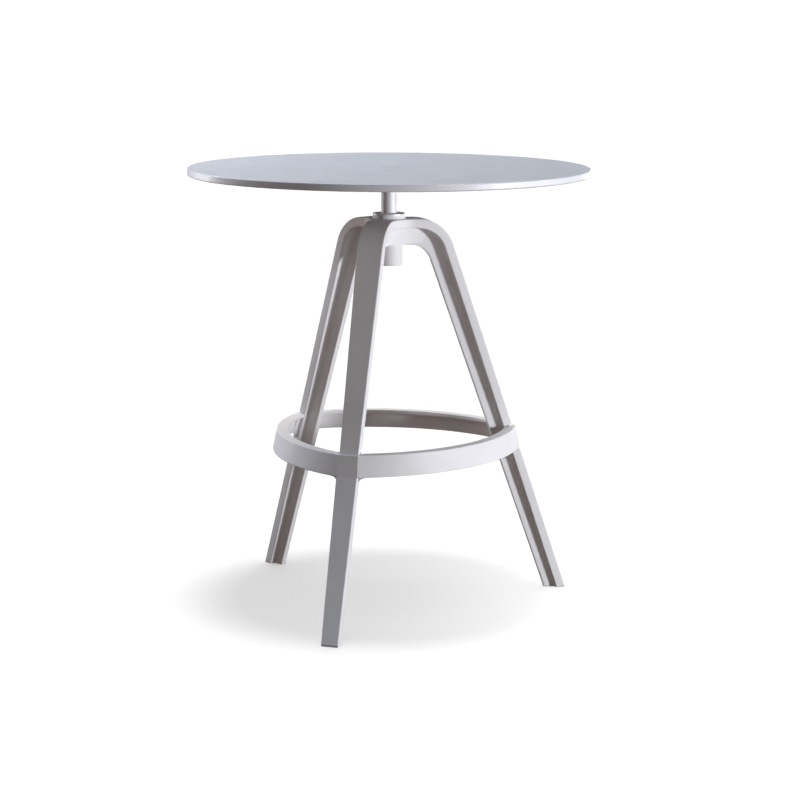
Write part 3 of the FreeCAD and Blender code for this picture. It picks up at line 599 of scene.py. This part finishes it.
@dataclass
class Camera:
    """The camera of the photograph, as fitted to the rims of the board and to the feet.

    Attributes:
        distance: how far it stands from the spindle's axis.
        height: its height over the floor.
        around: how far it stands round the table from the direction of -Y.
        yaw: how far it looks to the right of the axis.
        pitch: how far it looks down.
        roll: how far it is turned about its line of sight.
        focal: the focal length in pixels of the image.
        image_width: the width of the image in pixels.
        sensor: the width of the sensor in millimetres.
    """

    distance: float = 3.7142
    height: float = 1.0552
    around: float = 12.836
    yaw: float = 0.3102
    pitch: float = 10.6951
    roll: float = 0.2124
    focal: float = 2161.57
    image_width: float = 800.0
    sensor: float = 36.0

    def axes(self) -> tuple[Vector, Vector, Vector]:
        """Works out the camera's directions before the roll.

        Returns:
            The directions to the right, up and forward.
        """
        heading = math.radians(self.around + self.yaw)
        down = math.radians(self.pitch)
        flat = Vector((math.sin(heading), math.cos(heading), 0.0))
        forward = flat * math.cos(down) - Vector((0.0, 0.0, math.sin(down)))
        right = Vector((flat.y, -flat.x, 0.0))
        return right, right.cross(forward), forward

    def toward(self, bearing: float, rise: float) -> Vector:
        """Returns a direction from the table, by its bearing to the right of the camera and its rise."""
        angle, rise = math.radians(bearing - 90.0 - self.around), math.radians(rise)
        return Vector((math.cos(angle) * math.cos(rise), math.sin(angle) * math.cos(rise), math.sin(rise)))

    def build(self) -> None:
        """Makes the camera and sets the scene to it."""
        lens = bpy.data.cameras.new("photo_camera")
        lens.sensor_width = self.sensor
        lens.lens = self.focal * self.sensor / self.image_width
        eye = bpy.data.objects.new("photo_camera", lens)
        right, up, forward = self.axes()
        roll = math.radians(self.roll)
        across = right * math.cos(roll) + up * math.sin(roll)
        upward = up * math.cos(roll) - right * math.sin(roll)
        turn = math.radians(self.around)
        place = Vector((-self.distance * math.sin(turn), -self.distance * math.cos(turn), self.height))
        eye.matrix_world = Matrix.Translation(place) @ Matrix((across, upward, -forward)).transposed().to_4x4()
        bpy.context.scene.collection.objects.link(eye)
        bpy.context.scene.camera = eye


@dataclass(frozen=True)
class Softbox:
    """A large soft light that faces the table.

    Attributes:
        name: the light's name.
        bearing: how far it stands to the right of the camera, as seen from the table.
        rise: how high it stands over the horizon.
        reach: how far it stands from the point it faces.
        size: its width and height.
        watts: its power.
        tint: its colour.
        target: the height of the point it faces, on the spindle's axis.
        shadow: whether it casts shadows.
    """

    name: str
    bearing: float
    rise: float
    reach: float
    size: tuple[float, float]
    watts: float
    tint: Colour = (1.0, 1.0, 1.0)
    target: float = 0.45
    shadow: bool = True

    def build(self, camera: Camera, receivers: bpy.types.Collection) -> None:
        """Makes the light, turned to the table.

        Args:
            camera: the camera, from which the bearing is counted.
            receivers: the collection that says what the light falls on.
        """
        lamp = bpy.data.lights.new(self.name, "AREA")
        lamp.shape = "RECTANGLE"
        lamp.size, lamp.size_y = self.size
        lamp.energy = self.watts
        lamp.use_shadow = self.shadow
        lamp.color = self.tint
        box = bpy.data.objects.new(self.name, lamp)
        away = camera.toward(self.bearing, self.rise)
        box.matrix_world = (Matrix.Translation(Vector((0, 0, self.target)) + away * self.reach)
                            @ away.to_track_quat("Z", "Y").to_matrix().to_4x4())
        box.visible_camera = False
        box.light_linking.receiver_collection = receivers
        bpy.context.scene.collection.objects.link(box)


@dataclass(frozen=True)
class Sun:
    """A far light that fills a wide angle of the sky.

    Attributes:
        name: the light's name.
        strength: its strength.
        spread: the angle that it fills.
        tint: its colour.
        tilt: how far its middle is from straight overhead.
        bearing: how far it is to the right of the camera, as seen from the table.
    """

    name: str
    strength: float
    spread: float
    tint: Colour = (1.0, 1.0, 1.0)
    tilt: float = 0.0
    bearing: float = 0.0

    def build(self, camera: Camera, receivers: bpy.types.Collection) -> None:
        """Makes the light.

        Args:
            camera: the camera, from which the bearing is counted.
            receivers: the collection that says what the light falls on.
        """
        lamp = bpy.data.lights.new(self.name, "SUN")
        lamp.energy = self.strength
        lamp.angle = math.radians(self.spread)
        lamp.color = self.tint
        sun = bpy.data.objects.new(self.name, lamp)
        away = camera.toward(self.bearing, 90.0 - self.tilt)
        sun.matrix_world = away.to_track_quat("Z", "Y").to_matrix().to_4x4()
        sun.light_linking.receiver_collection = receivers
        bpy.context.scene.collection.objects.link(sun)


@dataclass
class Studio:
    """The pale floor, the world, the lights of the table and the lights of the floor.

    Attributes:
        camera: the camera, from which the lights' bearings are counted.
        floor_reach: how far the floor reaches each way.
        floor_points: how many points it has along a side.
        floor_tone: its colour.
        above: the world's light from above the horizon.
        below: the world's light from below it.
        horizon: between which heights of a ray the one light passes into the other.
        backdrop: what the camera sees over the floor's far edge.
        table_lights: the lights that fall on everything but the floor.
        floor_lights: the lights that fall on the floor alone.
    """

    camera: Camera
    floor_reach: float = 4000.0
    floor_points: int = 9
    floor_tone: Colour = (0.9, 0.9, 0.9)
    above: Colour = (0.004, 0.004, 0.004)
    below: Colour = (0.14, 0.102, 0.088)
    horizon: tuple[float, float] = (-0.06, 0.02)
    backdrop: Colour = (1.0, 1.0, 1.0)
    table_lights: tuple[Softbox | Sun, ...] = (
        Sun("top_light", 1.46, 40.0, (0.665, 0.81, 1.0)),
        Sun("top_rear_light", 1.57, 40.0, (1.0, 0.887, 0.75), 35.0, 180.0),
        Softbox("key_box", 61.0, 3.0, 2.6, (0.35, 0.35), 55.0, (0.905, 0.932, 1.0)),
        Softbox("side_box", 90.0, 5.0, 2.6, (0.8, 0.8), 8.0, (0.933, 0.936, 1.0)),
        Softbox("front_box", 30.0, 0.0, 2.6, (0.8, 0.8), 5.8, target=0.2),
        Softbox("left_box", -80.0, 30.0, 1.6, (0.6, 0.6), 2.6, (1.0, 0.956, 0.945)),
        Softbox("rear_left_box", -120.0, 5.0, 2.6, (0.8, 0.8), 21.0, (1.0, 0.952, 0.972)),
        Softbox("rear_left_high_box", -120.0, 35.0, 1.9, (0.8, 0.8), 17.3, (0.638, 0.783, 1.0)),
        Softbox("rear_high_box", -150.0, 35.0, 2.6, (0.8, 0.8), 10.4, (1.0, 0.8, 0.655)),
        Softbox("rear_right_box", 150.0, 5.0, 2.6, (0.8, 0.8), 14.0, (0.924, 0.925, 1.0)),
    )
    floor_lights: tuple[Softbox | Sun, ...] = (
        Sun("floor_light", 1.35, 13.0),
        Sun("floor_fill", 2.41, 160.0),
        Softbox("floor_side_box", 90.0, -5.0, 1.1, (1.0, 0.3), 12.7, shadow=False),
    )

    def build(self) -> None:
        """Makes the floor, the world and the lights."""
        bpy.context.scene.view_settings.view_transform = "Standard"
        floor = self.make_floor()
        self.make_world()
        all_but_floor = bpy.data.collections.new("all_but_floor")
        all_but_floor.objects.link(floor)
        all_but_floor.collection_objects[0].light_linking.link_state = "EXCLUDE"
        floor_alone = bpy.data.collections.new("floor_alone")
        floor_alone.objects.link(floor)
        for light in self.table_lights:
            light.build(self.camera, all_but_floor)
        for light in self.floor_lights:
            light.build(self.camera, floor_alone)

    def make_floor(self) -> bpy.types.Object:
        """Makes the floor: the plane z = 0 on a square grid of two parameters.

        Returns:
            The floor.
        """
        steps = np.linspace(-self.floor_reach, self.floor_reach, self.floor_points)
        across, along = np.meshgrid(steps, steps)
        points = np.stack([across, along, np.zeros_like(across)], axis=-1).reshape(-1, 3)
        faces = grid_faces(self.floor_points, self.floor_points, False, False).tolist()
        floor = bpy.data.objects.new("floor", mesh_of("floor", points, faces))
        bpy.context.scene.collection.objects.link(floor)
        finish = Finish("floor_paper", self.floor_tone, self.floor_tone, (0.8, 0.95), grain=300.0,
                        grain_depth=0.00002, cloud=2.0)
        floor.data.materials.append(finish.material())
        floor.visible_diffuse = False
        floor.visible_glossy = False
        return floor

    def make_world(self) -> None:
        """Makes the world: nearly dark above, dim and warm below, and a pale ground for the camera."""
        world = bpy.data.worlds.new("studio")
        world.use_nodes = True
        net = NodeNet(world.node_tree)
        ray = net.add("TexCoord").outputs["Generated"]
        height = net.add("SeparateXYZ", {0: ray}).outputs["Z"]
        glow = net.blend(net.span(height, *self.horizon, 1.0, 0.0), self.above, self.below)
        colour = net.blend(net.add("LightPath").outputs["Is Camera Ray"], glow, self.backdrop)
        backdrop = net.add("Background", {"Color": colour, "Strength": 1.0})
        net.add("OutputWorld", {"Surface": backdrop.outputs[0]})
        bpy.context.scene.world = world


def grid_faces(rows: int, columns: int, rows_close: bool, columns_close: bool) -> np.ndarray:
    """Returns the quads of a grid of points.

    Args:
        rows: how many points there are along the first parameter.
        columns: how many along the second.
        rows_close: whether the last row joins the first.
        columns_close: whether the last column joins the first.

    Returns:
        Point numbers, four to a quad: each quad joins two neighbours in one row to the two in the next.
    """
    row, column = np.meshgrid(np.arange(rows if rows_close else rows - 1),
                              np.arange(columns if columns_close else columns - 1), indexing="ij")
    after, beside = (row + 1) % rows, (column + 1) % columns
    here, there = row * columns, after * columns
    corners = (here + column, here + beside, there + beside, there + column)
    return np.stack(corners, axis=-1).reshape(-1, 4)


def closed_skins(skins: np.ndarray) -> tuple[np.ndarray, list[list[int]]]:
    """Closes grids of points that run round an axis into solids.

    Args:
        skins: the points, by solid, row and column; the last column joins the first.

    Returns:
        The points, and the faces as lists of point numbers: the quads of each grid, and a fan of triangles
        from the middle of its first row and of its last.
    """
    count, rows, columns = skins.shape[:3]
    middles = skins[:, [0, -1]].mean(axis=2)
    points = np.concatenate([skins.reshape(count, -1, 3), middles], axis=1)
    quads = grid_faces(rows, columns, False, True)
    here = np.arange(columns)
    beside = (here + 1) % columns
    last = (rows - 1) * columns
    first_fan = np.stack([np.full(columns, rows * columns), beside, here], axis=-1)
    last_fan = np.stack([np.full(columns, rows * columns + 1), last + here, last + beside], axis=-1)
    starts = np.arange(count)[:, None, None] * points.shape[1]
    faces = (quads + starts).reshape(-1, 4).tolist()
    fans = (np.concatenate([first_fan, last_fan]) + starts).reshape(-1, 3).tolist()
    return points.reshape(-1, 3), faces + fans


def mesh_of(name: str, points: np.ndarray, faces: list[list[int]]) -> bpy.types.Mesh:
    """Makes a smooth-shaded mesh.

    Args:
        name: the mesh's name.
        points: the points, a row to each.
        faces: the faces, as lists of point numbers.

    Returns:
        The mesh.
    """
    mesh = bpy.data.meshes.new(name)
    mesh.from_pydata(points, [], faces)
    mesh.polygons.foreach_set("use_smooth", np.ones(len(mesh.polygons), dtype=bool))
    mesh.update()
    return mesh


def main() -> None:
    """Dresses the sub-assemblies in order, then sets up the camera and the studio."""
    logging.basicConfig(level=logging.INFO, format="%(message)s")
    groups = [
        SubAssembly(Body.FRAME, {
            "leg_frame": FRAME_PLASTIC, "boss_cap": FRAME_PLASTIC, "hub_ring": RING_CHROME,
            "hub_sleeve": SLEEVE_STEEL, "upper_bush": BUSH_PLASTIC, "lower_bush": BUSH_PLASTIC,
            "thrust_washer": BUSH_PLASTIC, "disc_spring": FASTENER_ZINC, "right_glide": GLIDE_PLASTIC,
            "left_glide": GLIDE_PLASTIC, "front_glide": GLIDE_PLASTIC,
        }),
        SubAssembly(Body.SWIVEL, {
            "table_top": BOARD, "top_inserts": INSERT_BRASS, "top_plate": PLATE_PAINT,
            "spindle": SPINDLE_STEEL, "retaining_washer": FASTENER_ZINC, "circlip": FASTENER_ZINC,
        }),
        ScrewSet(Body.SWIVEL, {}, node="plate_screws", screw=PLATE_SCREW, finish=FASTENER_ZINC,
                 seat=(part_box("plate_screws")[1][0] - BUTTON_RADIUS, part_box("plate_screws")[0][2]), count=6),
        ScrewSet(Body.SWIVEL, {}, node="collar_screws", screw=COLLAR_SCREW, finish=FASTENER_ZINC,
                 seat=(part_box("collar_screws")[1][0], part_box("collar_screws")[0][2] + GRUB_RADIUS), count=3,
                 lying=True),
        ScrewSet(Body.FRAME, {}, node="glide_screws", screw=GLIDE_SCREW, finish=FASTENER_ZINC,
                 seat=(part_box("glide_screws")[1][0] - COUNTERSUNK_RADIUS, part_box("glide_screws")[0][2]),
                 count=3),
    ]
    for group in groups:
        group.build()
        group.dress()
    camera = Camera()
    camera.build()
    Studio(camera).build()


if __name__ == "__main__":
    main()
